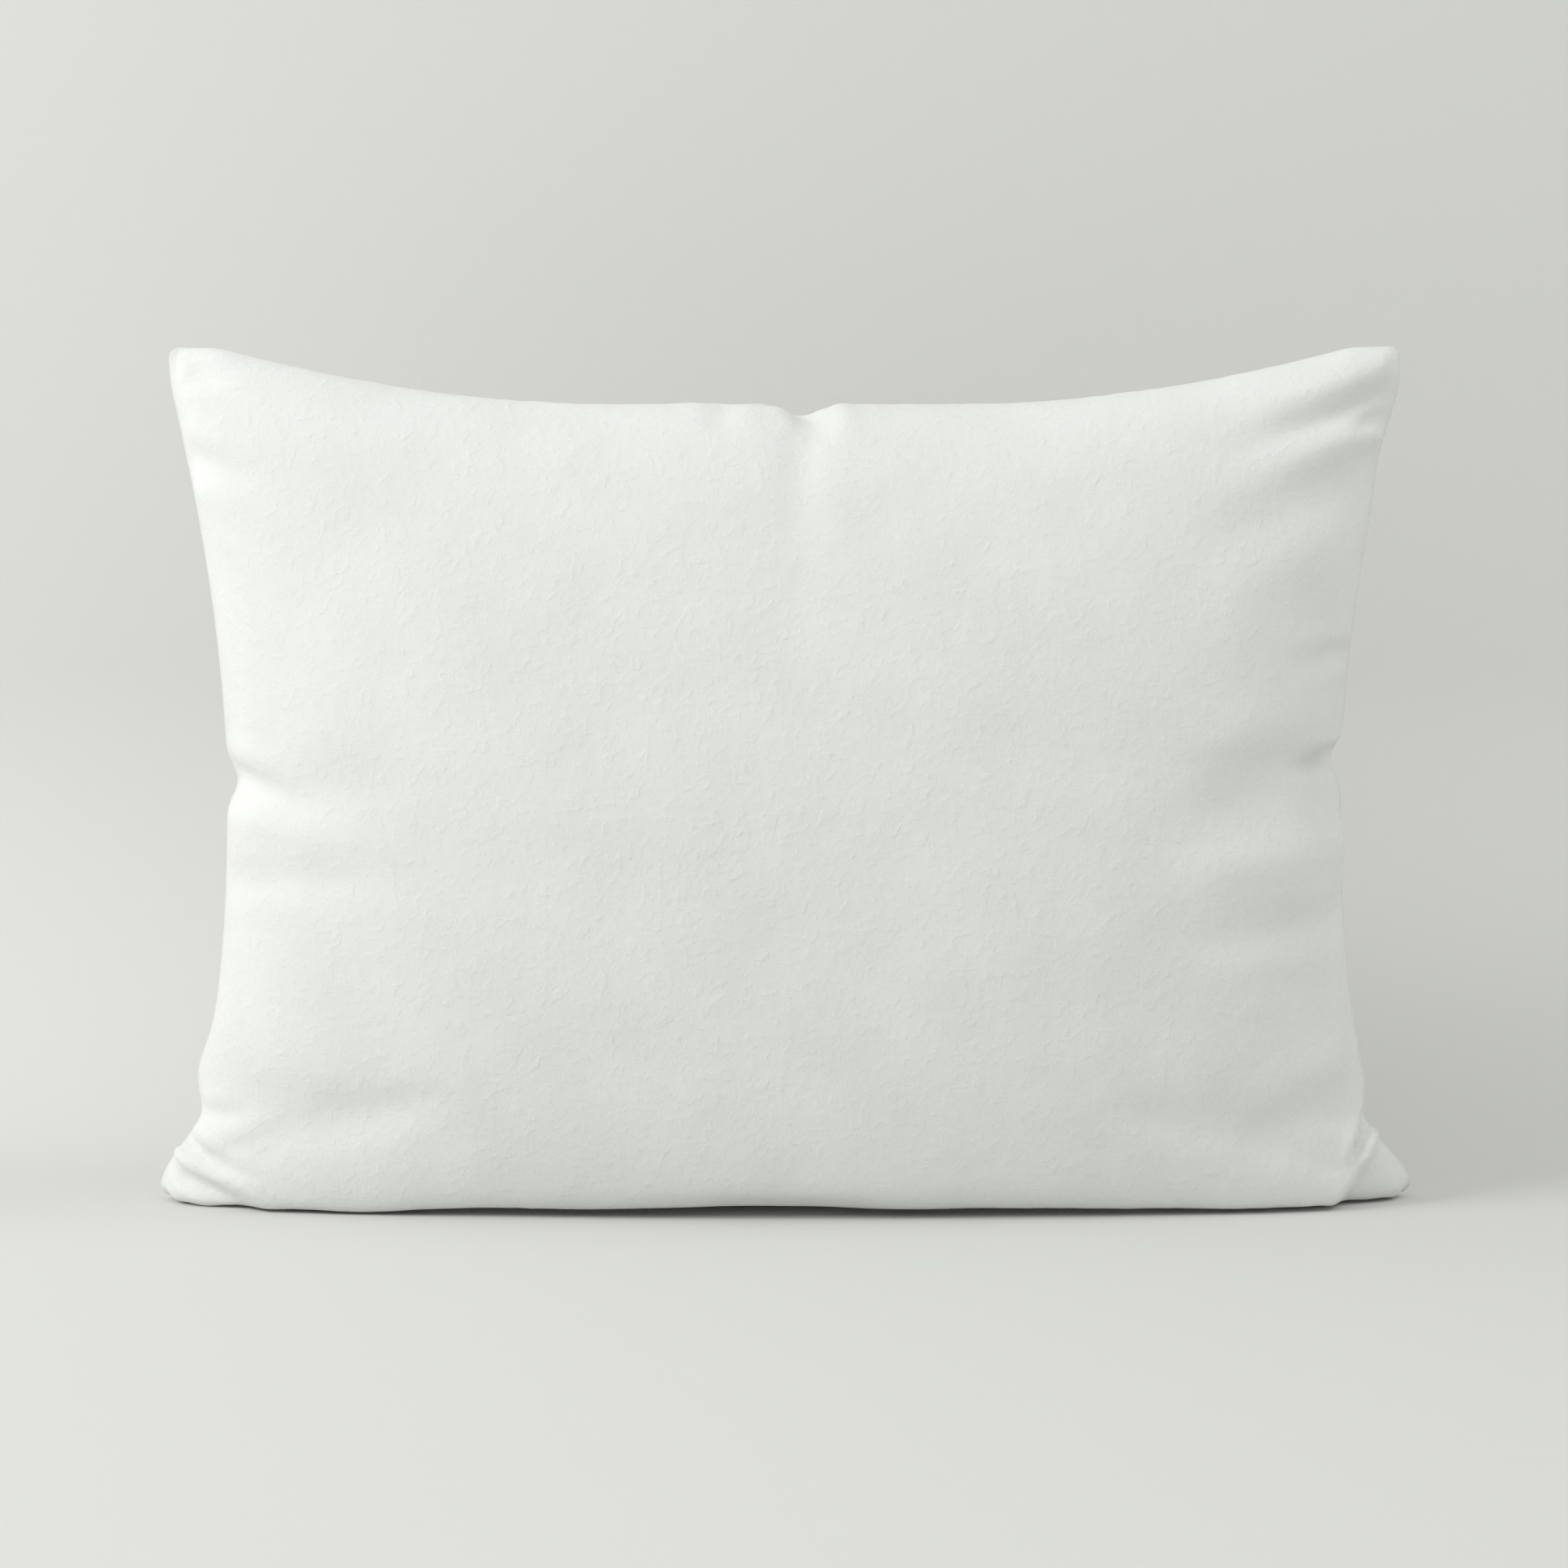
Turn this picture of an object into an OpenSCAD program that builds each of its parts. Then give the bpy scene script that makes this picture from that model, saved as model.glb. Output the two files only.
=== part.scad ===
// Bed pillow standing on its long lower edge: a zipped cotton cover over a filled insert.
// All lengths are in millimetres. The origin is the middle of the base, +X runs along the
// long side, +Z is up, and the front panel faces -Y.

/* [Cover] */
// Width of the filled cover from ear to ear
cover_w = 676; // [540:1:820]
// Height of the filled cover from its base to the upper ears
cover_h = 470; // [380:1:570]
// Thickness of the filled cover through its middle
cover_t = 176; // [140:1:215]
// How far the filling draws in the middle of each short side
side_dip = 38; // [10:1:55]
// How far the filling draws down the middle of the top edge
top_dip = 34; // [10:1:55]
// Thickness of the cover cloth
cloth_t = 1; // [0.8:0.1:1.4]
// Depth of the seam allowance turned in along the cover's edges
seam_allowance = 3; // [2.5:0.5:5]
// Thickness of the sewing thread lying between two joined panels
thread_t = 0.5; // [0.3:0.1:0.6]

/* [Base] */
// Half-distance between the outer edges of the two strips that the pillow stands on
foot_outer = 48; // [40:1:58]
// Half-distance between the inner edges of those strips
foot_inner = 18; // [16:1:22]
// Height of the bottom seam above the floor
seam_z = 9; // [8:0.5:14]
// Half-width of the flat hem on each side of the bottom seam
hem_w = 11; // [10:0.5:13]

/* [Insert] */
// Room between the cover's seam allowance and the insert's edge, which leaves the ears empty
ear_room = 14; // [10:1:24]
// Room between the cover cloth and the ticking
insert_gap = 1; // [0.6:0.1:2]
// Thickness of the ticking cloth
ticking_t = 0.6; // [0.5:0.1:1]
// Room between the ticking and the filling
fill_gap = 0.4; // [0.3:0.1:1]
// Length of the hand-closed gap in the ticking's bottom seam
closing_length = 150; // [80:5:220]

/* [Zip] */
// Distance from each end of the zip to the cover's side
zip_margin = 98; // [80:1:130]
// Width of each zip tape
tape_w = 12; // [10:0.5:13]
// Thickness of each zip tape
tape_t = 0.5; // [0.4:0.1:0.8]
// Width of one row of coil teeth
coil_w = 1.8; // [1.4:0.1:2]
// Height of the coil teeth
coil_h = 1.5; // [1.2:0.1:1.8]
// Gap between the two rows, which the slider's post runs in
coil_gap = 1; // [0.8:0.1:1.2]
// Length of the slider
slider_l = 10; // [8:0.5:12]
// Thickness of each slider plate
slider_plate = 1; // [0.8:0.1:1.2]
// Clearance round the slider's moving faces
slider_clear = 0.3; // [0.2:0.05:0.4]
// Length of the pull from its pin to its tip
pull_l = 15; // [12:1:20]
// Width of the pull
pull_w = 4.4; // [4:0.1:5]
// Thickness of the pull
pull_t = 1; // [0.8:0.1:1.1]

/* [Labels] */
// Length of the blank care label along the bottom seam
care_label_l = 24; // [15:1:26]
// Depth of the folded care label
care_label_d = 7; // [5:0.5:8]
// Length of the blank insert label along the side seam
insert_label_l = 30; // [20:1:45]
// How far the insert label stands out of the seam
insert_label_d = 9; // [6:0.5:9]

/* [Hidden] */

$fn = 32;

// Shape of the filled cloth
width_crown = 3;
width_power = 0.5;
section_power = 0.85;
side_curve = 1.25;
top_curve = 2.2;

// Grid of each cloth surface
middle_rows = 16;
ear_rows = 5;
wall_columns = 18;
wall_end = 0.93;
base_columns = [
    // share of the flat panel's half-height, then which base line the column follows
    [0.95, "foot_middle"],
    [0.965, "foot_inner"],
    [0.98, "hem"],
    [1, "seam"]
];

// How far a cut runs past the surface that it opens
cut_past = 1;

// Zip lengths and heights
zip_l = cover_w - 2 * zip_margin;
zip_tail = 32;
slot_extra = 1.5;
slot_half_l = zip_l / 2 + slot_extra;
straight_share = (zip_l / 2 + zip_tail) / (cover_w / 2);
tape_z = seam_z + cloth_t;
coil_outer = coil_gap / 2 + coil_w;
coil_z = tape_z - coil_h;
stop_l = 2;
stop_proud = 0.2;
bottom_stop_l = 3;
tape_overrun = 8;

// Slider
flange_t = 1.1;
slider_half_w = coil_outer + slider_clear + flange_t;
slot_half_w = slider_half_w + 2 * slider_clear;
lower_plate_z = coil_z - stop_proud - slider_clear - slider_plate;
upper_plate_z = tape_z + tape_t + slider_clear;
slider_top = upper_plate_z + slider_plate;
slider_x = zip_l / 2 - stop_l - slider_clear - slider_l / 2;
post_w = coil_gap - 2 * slider_clear;
post_l = 2.5;
post_setback = 0.5;
nose_l = 2;
plate_taper = 1;
crown_w = 1.4;
crown_l = 6;
crown_drop = 2.6;
crown_slope = 1;
pin_r = 0.45;
pin_clear = 0.08;
pin_z = lower_plate_z - slider_clear - pull_t / 2;
arm_w = 1;
window_l = 4.4;

// Stitching round the zip
stitch_t = 0.25;
stitch_w = 0.6;
stitch_y = slot_half_w + 2;
tack_l = 1.5;
tack_half_w = slot_half_w + 0.5;

// Insert
insert_inset = seam_allowance + ear_room;
insert_slack = cloth_t + insert_gap;
zip_headroom = 1.2;
insert_seam_z = slider_top + zip_headroom;
tape_room = 3;
insert_hem_w = tape_w + tape_room;
insert_hem_slope = 12;
insert_foot_inner = insert_hem_w + insert_hem_slope;
insert_rim = thread_t / 2;
fill_inset = seam_allowance + fill_gap;
fill_slack = ticking_t + fill_gap;
thread_start = 0.3;
thread_end = 0.7;
label_grip = 0.25;
care_label_t = 0.4;
care_label_gap = 1.5;
label_start_share = 0.35;

// One cloth surface is a list of ten sizes, which the functions below read by these numbers:
// 0 half width, 1 top, 2 half thickness, 3 floor, 4 height of the ears' feet,
// 5 foot outer edge, 6 foot inner edge, 7 hem half-width, 8 seam height, 9 rim half-gap
cover_outside = [
    cover_w / 2, cover_h, cover_t / 2, 0, 0,
    foot_outer, foot_inner, hem_w, seam_z, thread_t / 2
];

// The same surface moved inwards: by "inset" at its edges and by "slack" across the cloth
function moved_in(surface, inset, slack) = [
    surface[0] - inset, surface[1] - inset, surface[2] - slack, surface[3] + slack,
    surface[4] + inset, surface[5] - slack / 2, surface[6] + slack / 2,
    surface[7] + slack / 2, surface[8] + slack, surface[9]
];

cover_inside = moved_in(cover_outside, seam_allowance, cloth_t);
insert_base = moved_in(cover_outside, insert_inset, insert_slack);
ticking_outside = [
    insert_base[0], insert_base[1], insert_base[2], insert_base[3], insert_base[4],
    insert_base[5], insert_foot_inner, insert_hem_w, insert_seam_z, insert_rim
];
ticking_inside = moved_in(ticking_outside, seam_allowance, ticking_t);
fill_outside = moved_in(ticking_outside, fill_inset, fill_slack);

// Rows from the left edge, -1, to the right edge, 1, with finer steps at the ears
function ear_share(step) =
    straight_share + (1 - straight_share) * sin(90 * step / ear_rows);

rows = concat(
    [for (step = [ear_rows : -1 : 1]) -ear_share(step)],
    [for (step = [0 : middle_rows]) straight_share * (2 * step / middle_rows - 1)],
    [for (step = [1 : ear_rows]) ear_share(step)]
);

// Columns from the top seam round the wall and under the base to the bottom seam
columns = concat(
    [for (step = [0 : wall_columns]) [step / wall_columns, "wall"]],
    base_columns
);

// How round the filling makes the panel at a row: 1 in the middle and 0 at the side seams
function fullness(row) = pow(1 - pow(abs(row), width_crown), width_power);

// 1 where the base is straight, falling to 0 at the side seams
function straightness(row) =
    abs(row) <= straight_share ? 1
    : 1 - pow((abs(row) - straight_share) / (1 - straight_share), 2);

// Angle from the top seam round to where the wall reaches the floor
function foot_angle(s) = 180 - asin(pow(s[5] / s[2], 1 / section_power));

// Height of the top seam at a row
function top_at(s, row) = s[1] - top_dip * (1 - pow(abs(row), top_curve));

// Height of a column where the base is straight
function middle_z(s, row, column) =
    column[1] == "wall" ?
        top_at(s, row) - (top_at(s, row) - s[3])
        * (1 - cos(foot_angle(s) * column[0])) / (1 - cos(foot_angle(s)))
    : column[1] == "foot_middle" || column[1] == "foot_inner" ? s[3]
    : s[8];

// Height of a column along the side seam
function ear_z(s, column) =
    s[1] - (s[1] - s[4])
    * (column[1] == "wall" ? (1 + wall_end) / 2 * column[0] : (1 + column[0]) / 2);

// Distance of a column from the middle plane, in the middle of the pillow
function middle_y(s, column) =
    column[1] == "wall" ? s[2] * pow(sin(foot_angle(s) * column[0]), section_power)
    : column[1] == "foot_middle" ? (s[5] + s[6]) / 2
    : column[1] == "foot_inner" ? s[6]
    : column[1] == "hem" ? s[7]
    : 0;

function surface_z(s, row, column) =
    ear_z(s, column)
    + straightness(row) * (middle_z(s, row, column) - ear_z(s, column));

// The side seams are drawn in most at mid-height
function side_share(s, z) = abs(2 * (z - s[3]) / (s[1] - s[3]) - 1);
function surface_x(s, row, z) =
    row * (s[0] - side_dip * (1 - pow(min(1, side_share(s, z)), side_curve)));

// "side" is -1 for the surface that faces -Y and 1 for the one that faces +Y
function surface_point(s, row, column, side) =
    let (z = surface_z(s, row, column))
    [surface_x(s, row, z), side * (s[9] + fullness(row) * middle_y(s, column)), z];

function surface_points(s, side) =
    [for (row = rows) for (column = columns) surface_point(s, row, column, side)];

last_row = len(rows) - 1;
last_column = len(columns) - 1;
surface_count = len(rows) * len(columns);
function corner(layer, row, column) =
    layer * surface_count + row * len(columns) + column;

// The two triangles of one grid cell, seen clockwise from -Y. The cut between them runs to the
// cell's own corner of the panel, so that no triangle lies flat along the seam.
function cell(layer, r, c) =
    let (
        a = corner(layer, r, c),
        b = corner(layer, r + 1, c),
        d = corner(layer, r + 1, c + 1),
        e = corner(layer, r, c + 1)
    )
    (r < last_row / 2) == (c < last_column / 2) ? [[a, b, d], [a, d, e]]
    : [[a, b, e], [b, d, e]];

function turned(triangle) = [triangle[2], triangle[1], triangle[0]];

// A closed solid between one surface that faces -Y and one that faces +Y
module between_surfaces(near, far) {
    near_faces = [
        for (r = [0 : last_row - 1]) for (c = [0 : last_column - 1]) each cell(0, r, c)
    ];
    far_faces = [
        for (r = [0 : last_row - 1]) for (c = [0 : last_column - 1])
            for (triangle = cell(1, r, c)) turned(triangle)
    ];
    long_edges = [
        for (r = [0 : last_row - 1]) each [
            [corner(0, r + 1, 0), corner(0, r, 0), corner(1, r, 0), corner(1, r + 1, 0)],
            [
                corner(0, r, last_column), corner(0, r + 1, last_column),
                corner(1, r + 1, last_column), corner(1, r, last_column)
            ]
        ]
    ];
    short_edges = [
        for (c = [0 : last_column - 1]) each [
            [corner(0, 0, c), corner(0, 0, c + 1), corner(1, 0, c + 1), corner(1, 0, c)],
            [
                corner(0, last_row, c + 1), corner(0, last_row, c),
                corner(1, last_row, c), corner(1, last_row, c + 1)
            ]
        ]
    ];
    polyhedron(
        points = concat(near, far),
        faces = concat(short_edges, long_edges, near_faces, far_faces)
    );
}

// The front cloth panel between an outer and an inner surface
module front_panel(outside, inside) {
    between_surfaces(surface_points(outside, -1), surface_points(inside, -1));
}

// A point of the edge between two surfaces, at a share of the way in
function edge_point(outside, inside, row, column, share) =
    let (
        start = surface_point(outside, row, column, 1),
        end = surface_point(inside, row, column, 1)
    )
    [start[0] + share * (end[0] - start[0]), start[2] + share * (end[2] - start[2])];

// The whole edge as one loop: along the top, down the right, back along the bottom and up
function edge_loop(outside, inside, share) = concat(
    [for (r = [0 : last_row]) edge_point(outside, inside, rows[r], columns[0], share)],
    [
        for (c = [1 : last_column])
            edge_point(outside, inside, rows[last_row], columns[c], share)
    ],
    [
        for (r = [last_row - 1 : -1 : 0])
            edge_point(outside, inside, rows[r], columns[last_column], share)
    ],
    [
        for (c = [last_column - 1 : -1 : 1])
            edge_point(outside, inside, rows[0], columns[c], share)
    ]
);

// A flat outline in X and Z, made "thickness" thick about the middle plane
module upright(thickness) {
    rotate([90, 0, 0]) linear_extrude(thickness, center = true) children();
}

// The line of sewing inside the edge of two joined panels
module edge_thread(outside, inside) {
    upright(thread_t) difference() {
        polygon(edge_loop(outside, inside, thread_start));
        polygon(edge_loop(outside, inside, thread_end));
    }
}

// A plain block with its lowest corner and its size
module block(low, size) {
    translate(low) cube(size);
}

// The slot in the bottom seam that the zip closes
module zip_slot() {
    block(
        [-slot_half_l, -slot_half_w, -cut_past],
        [2 * slot_half_l, 2 * slot_half_w, insert_seam_z]
    );
}

module cover_front() {
    color("whitesmoke") difference() {
        front_panel(cover_outside, cover_inside);
        zip_slot();
    }
}

module cover_back() {
    color("whitesmoke") mirror([0, 1, 0]) difference() {
        front_panel(cover_outside, cover_inside);
        zip_slot();
    }
}

// The space round the bottom seam, up to the middle of the pillow
module lower_seam_stretch(half_l) {
    block([-half_l, -thread_t, 0], [2 * half_l, 2 * thread_t, cover_h / 2]);
}

module cover_seam_thread() {
    color("white") difference() {
        edge_thread(cover_outside, cover_inside);
        lower_seam_stretch(slot_half_l + tack_l);
    }
}

// A folded blank label sewn into the bottom seam past the zip's end, under the back hem
module care_label() {
    color("white") block(
        [-slot_half_l - tack_l - care_label_gap - care_label_l, 0, seam_z - care_label_t],
        [care_label_l, care_label_d, care_label_t]
    );
}

module zip_tape_front() {
    tape_l = zip_l + 2 * tape_overrun;
    color("gainsboro") block(
        [-tape_l / 2, -coil_gap / 2 - tape_w, tape_z],
        [tape_l, tape_w, tape_t]
    );
}

module zip_tape_back() {
    color("gainsboro") mirror([0, 1, 0]) zip_tape_front();
}

module zip_coil_front() {
    color("gainsboro") block(
        [-zip_l / 2 + bottom_stop_l, -coil_outer, coil_z],
        [zip_l - bottom_stop_l - stop_l, coil_w, coil_h]
    );
}

module zip_coil_back() {
    color("gainsboro") mirror([0, 1, 0]) zip_coil_front();
}

// Two small blocks that stop the slider at the closed end
module zip_top_stops() {
    color("silver") for (side = [0, 1]) mirror([0, side, 0]) block(
        [zip_l / 2 - stop_l, coil_gap / 2, coil_z - stop_proud],
        [stop_l, coil_w, coil_h + stop_proud]
    );
}

// One block across both rows that stops the slider at the open end
module zip_bottom_stop() {
    color("silver") block(
        [-zip_l / 2, -coil_outer, coil_z - stop_proud],
        [bottom_stop_l, 2 * coil_outer, coil_h + stop_proud]
    );
}

// Two rows of topstitching under the hems, and a bar tack across each end
module zip_stitching() {
    color("white") {
        for (side = [0, 1]) mirror([0, side, 0]) block(
            [-slot_half_l, stitch_y, seam_z - stitch_t],
            [2 * slot_half_l, stitch_w, stitch_t]
        );
        for (end = [0, 1]) mirror([end, 0, 0]) block(
            [slot_half_l, -tack_half_w, seam_z - stitch_t],
            [tack_l, 2 * tack_half_w, stitch_t]
        );
    }
}

// Outline of a slider plate, with its nose pointing to the closed end
module slider_outline() {
    polygon([
        [-slider_l / 2, -slider_half_w + plate_taper],
        [slider_l / 2 - nose_l, -slider_half_w],
        [slider_l / 2, -slider_half_w / 2],
        [slider_l / 2, slider_half_w / 2],
        [slider_l / 2 - nose_l, slider_half_w],
        [-slider_l / 2, slider_half_w - plate_taper]
    ]);
}

// The part of the slider that rides on one side of the tapes
module slider_half(plate_z, flange_z, flange_h) {
    translate([0, 0, plate_z]) linear_extrude(slider_plate) slider_outline();
    intersection() {
        translate([0, 0, flange_z]) linear_extrude(flange_h) slider_outline();
        for (side = [0, 1]) mirror([0, side, 0]) block(
            [-slider_l / 2, coil_outer + slider_clear, flange_z],
            [slider_l, flange_t, flange_h]
        );
    }
}

// The bridge under the slider that carries the pull's pin
module slider_crown() {
    difference() {
        translate([0, 0, lower_plate_z]) rotate([90, 0, 0])
            linear_extrude(crown_w, center = true) polygon([
                [-crown_l / 2, 0], [-crown_l / 2 + crown_slope, -crown_drop],
                [crown_l / 2 - crown_slope, -crown_drop], [crown_l / 2, 0]
            ]);
        translate([0, 0, pin_z]) rotate([90, 0, 0])
            cylinder(h = 2 * crown_w, r = pin_r + pin_clear, center = true);
    }
}

module zip_slider() {
    color("silver") translate([slider_x, 0, 0]) {
        slider_half(
            lower_plate_z, lower_plate_z + slider_plate,
            tape_z - slider_clear - lower_plate_z - slider_plate
        );
        translate([0, 0, upper_plate_z]) linear_extrude(slider_plate) slider_outline();
        block(
            [slider_l / 2 - post_setback - post_l, -post_w / 2, lower_plate_z],
            [post_l, post_w, slider_top - lower_plate_z]
        );
        slider_crown();
    }
}

// The pull lies flat under the zip with its tip towards the open end
module zip_pull() {
    tip_r = pull_w / 2;
    color("silver") translate([slider_x, 0, pin_z]) {
        translate([0, 0, -pull_t / 2]) linear_extrude(pull_t) difference() {
            union() {
                translate([-pull_l + tip_r, -pull_w / 2]) square([pull_l - tip_r, pull_w]);
                translate([-pull_l + tip_r, 0]) circle(tip_r);
            }
            translate([-window_l, -pull_w / 2 + arm_w])
                square([window_l + cut_past, pull_w - 2 * arm_w]);
        }
        rotate([90, 0, 0]) cylinder(h = pull_w - arm_w, r = pin_r, center = true);
    }
}

module ticking_front() {
    color("ivory") front_panel(ticking_outside, ticking_inside);
}

module ticking_back() {
    color("ivory") mirror([0, 1, 0]) front_panel(ticking_outside, ticking_inside);
}

module ticking_seam_thread() {
    color("white") difference() {
        edge_thread(ticking_outside, ticking_inside);
        lower_seam_stretch(closing_length / 2 + thread_t);
    }
}

// The stretch of the insert's bottom seam that is closed last
module ticking_closing_stitch() {
    color("lightgrey") intersection() {
        edge_thread(ticking_outside, ticking_inside);
        lower_seam_stretch(closing_length / 2);
    }
}

// A blank label caught in the insert's left seam
module insert_label() {
    first = round(wall_columns * label_start_share);
    held = edge_point(ticking_outside, ticking_inside, rows[0], columns[first], label_grip);
    below = edge_point(
        ticking_outside, ticking_inside, rows[0], columns[first + 1], label_grip
    );
    slope = (below[0] - held[0]) / (below[1] - held[1]);
    end = [held[0] - slope * insert_label_l, held[1] - insert_label_l];
    color("white") upright(thread_t) polygon([
        held, end, end - [insert_label_d, 0], held - [insert_label_d, 0]
    ]);
}

module fibre_fill() {
    color("white") between_surfaces(
        surface_points(fill_outside, -1), surface_points(fill_outside, 1)
    );
}

cover_front();
cover_back();
cover_seam_thread();
care_label();
zip_tape_front();
zip_tape_back();
zip_coil_front();
zip_coil_back();
zip_top_stops();
zip_bottom_stop();
zip_stitching();
zip_slider();
zip_pull();
ticking_front();
ticking_back();
ticking_seam_thread();
ticking_closing_stitch();
insert_label();
fibre_fill();
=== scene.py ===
"""Bed pillow standing on its long edge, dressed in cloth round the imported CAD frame.

A flat-cut cover is blown up by a cloth simulation inside a fixed seam outline. Its panels, the
insert inside it and the sewing are all built from that one surface. Lengths are in metres.
"""

import math

import bpy
import numpy as np
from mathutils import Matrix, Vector, noise


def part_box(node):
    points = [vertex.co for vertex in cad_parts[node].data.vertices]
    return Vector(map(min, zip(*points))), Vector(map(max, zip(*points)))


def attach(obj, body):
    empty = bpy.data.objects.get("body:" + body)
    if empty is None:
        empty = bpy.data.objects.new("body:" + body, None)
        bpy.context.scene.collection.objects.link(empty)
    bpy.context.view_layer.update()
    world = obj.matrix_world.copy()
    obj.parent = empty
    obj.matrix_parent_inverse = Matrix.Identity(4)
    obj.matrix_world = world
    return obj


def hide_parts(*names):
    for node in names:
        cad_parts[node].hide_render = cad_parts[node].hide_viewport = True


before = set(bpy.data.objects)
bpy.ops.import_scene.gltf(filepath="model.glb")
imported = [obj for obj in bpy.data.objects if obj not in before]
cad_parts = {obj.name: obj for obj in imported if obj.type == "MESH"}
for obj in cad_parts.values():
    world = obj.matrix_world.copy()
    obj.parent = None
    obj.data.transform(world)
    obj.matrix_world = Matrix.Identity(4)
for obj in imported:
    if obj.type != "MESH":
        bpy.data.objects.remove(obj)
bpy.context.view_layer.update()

MM = 0.001

# -------- sizes taken from the frame
COVER_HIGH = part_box("cover_back")[1]
HALF_W, TOP, HALF_T = COVER_HIGH.x, COVER_HIGH.z, COVER_HIGH.y
INSERT_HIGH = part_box("ticking_back")[1]
STITCH_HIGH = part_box("zip_stitching")[1]
HEM_BOTTOM, HEM_TOP = STITCH_HIGH.z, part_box("zip_tape_front")[0].z
CLOTH_T = (HEM_TOP - HEM_BOTTOM) / 2

# -------- the cover's cut and seams
FLAT_W, FLAT_H = 700 * MM, 500 * MM
# The zip's slot in the bottom seam, the hems beside it, and the foot that the pillow stands on.
SLOT_HALF_W = 4.3 * MM
SLOT_HALF_L = STITCH_HIGH.x - 1.5 * MM
HEM_W = 11 * MM
FOOT_OUTER, FOOT_INNER = 48 * MM, 18 * MM
# How far the sides and the top curve in between the ears, and where the ears end.
SIDE_INSET, TOP_DIP = 34.5 * MM, 30.5 * MM
EAR_TOP, EAR_BOTTOM = TOP - 3.5 * MM, 1.5 * MM
TOP_RADIUS, BOTTOM_RADIUS = 8 * MM, 12 * MM
SECTION_POWER = 0.85
EDGE_GAP = 0.03 * MM
EDGE_ROUND = 0.35
ALLOWANCE = 3 * MM

# -------- the insert and the sewing
TICKING_T = 0.4 * MM
INSERT_SLACK = 2.4 * MM
INSERT_RIM = 0.45 * MM
INSERT_SEAM_Z = 13 * MM
SEAM_INSET = 1.5 * MM
SEAM_SWING = 0.3 * MM
SEAM_THREAD_R = 0.12 * MM
COVER_STITCH, INSERT_STITCH = 3 * MM, 2.5 * MM
THREAD_SIDES, COIL_SIDES = 5, 6
LABEL_T = 0.15 * MM
COIL_WIRE = 0.27 * MM

# -------- the simulated grid
CELLS_X, CELLS_Z = 98, 70
SIM_FRAMES = 40
FINER = 3

FRONT, BACK = -1, 1
LEFT, RIGHT = -1, 1
SIDES = {FRONT: "front", BACK: "back"}

# Where each side seam is drawn in or let out: height share, width as a share, and millimetres.
DRAWN_IN = {
    LEFT: [(-0.01, 0.04, 7), (-0.79, 0.045, 4.5)],
    RIGHT: [(0.04, 0.04, 7), (-0.80, 0.05, 6), (0.74, 0.09, 2)],
}
LET_OUT = {
    LEFT: [(-0.68, 0.07, 4), (-0.945, 0.085, 9)],
    RIGHT: [(-0.955, 0.08, 12)],
}
BLUNT_TOP = {LEFT: 4, RIGHT: 5}


def bell(value, centre, width):
    """1 at the centre, falling smoothly to 0 a few widths away."""
    return np.exp(-(((value - centre) / width) ** 2))


def smooth_step(value):
    """0 below 0, 1 above 1 and an S-curve between them."""
    clipped = np.clip(value, 0, 1)
    return clipped * clipped * (3 - 2 * clipped)


# ======== the seam outline
def top_seam(s):
    """Height of the top seam at a share of the half-width: low in the middle, up at the ears."""
    level_half, rise_run, rise_power = 0.3, 0.62, 1.85
    tuck_at, tuck_width, tuck_depth = 0.027, 0.035, 7 * MM
    rise = np.clip((np.abs(s) - level_half) / rise_run, 0, 1) ** rise_power
    return EAR_TOP - TOP_DIP * (1 - rise) - tuck_depth * bell(s, tuck_at, tuck_width)


def side_seam(t, side):
    """Distance of a side seam from the middle at a height share from -1 to 1."""
    upper_power, lower_power = 1.75, 2.5
    blunt_from, blunt_run = 0.88, 0.12
    drawn_in = sum(size * bell(t, centre, width) for centre, width, size in DRAWN_IN[side])
    let_out = sum(size * bell(t, centre, width) for centre, width, size in LET_OUT[side])
    drawn_in += BLUNT_TOP[side] * smooth_step((t - blunt_from) / blunt_run)
    power = np.where(t > 0, upper_power, lower_power)
    smooth_half = HALF_W - SIDE_INSET * (1 - np.abs(t) ** power)
    return smooth_half + (let_out - drawn_in) * MM


def bottom_seam(s):
    """Height of the bottom seam, which comes down to the floor at the ears."""
    ear_from, ear_run = 0.76, 0.2
    outwards = smooth_step((np.abs(s) - ear_from) / ear_run)
    return HEM_BOTTOM + (EAR_BOTTOM - HEM_BOTTOM) * outwards


def half_section(s):
    """Front half of the filled cover cut across at s: depths and heights, from top to bottom."""
    top, seam = top_seam(s), bottom_seam(s)
    steps, fullness_power = 300, 3
    foot_angle = math.pi - math.asin((FOOT_OUTER / HALF_T) ** (1 / SECTION_POWER))
    angle = np.linspace(0, foot_angle, steps)
    depth = HALF_T * np.sin(angle) ** SECTION_POWER
    height = top * (1 - (1 - np.cos(angle)) / (1 - math.cos(foot_angle)))
    depth = np.append(depth, [(FOOT_OUTER + FOOT_INNER) / 2, FOOT_INNER, HEM_W, 0])
    height = np.append(height, [0, 0, seam, seam])
    fullness = math.sqrt(1 - abs(s) ** fullness_power)
    return depth * fullness, height


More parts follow.
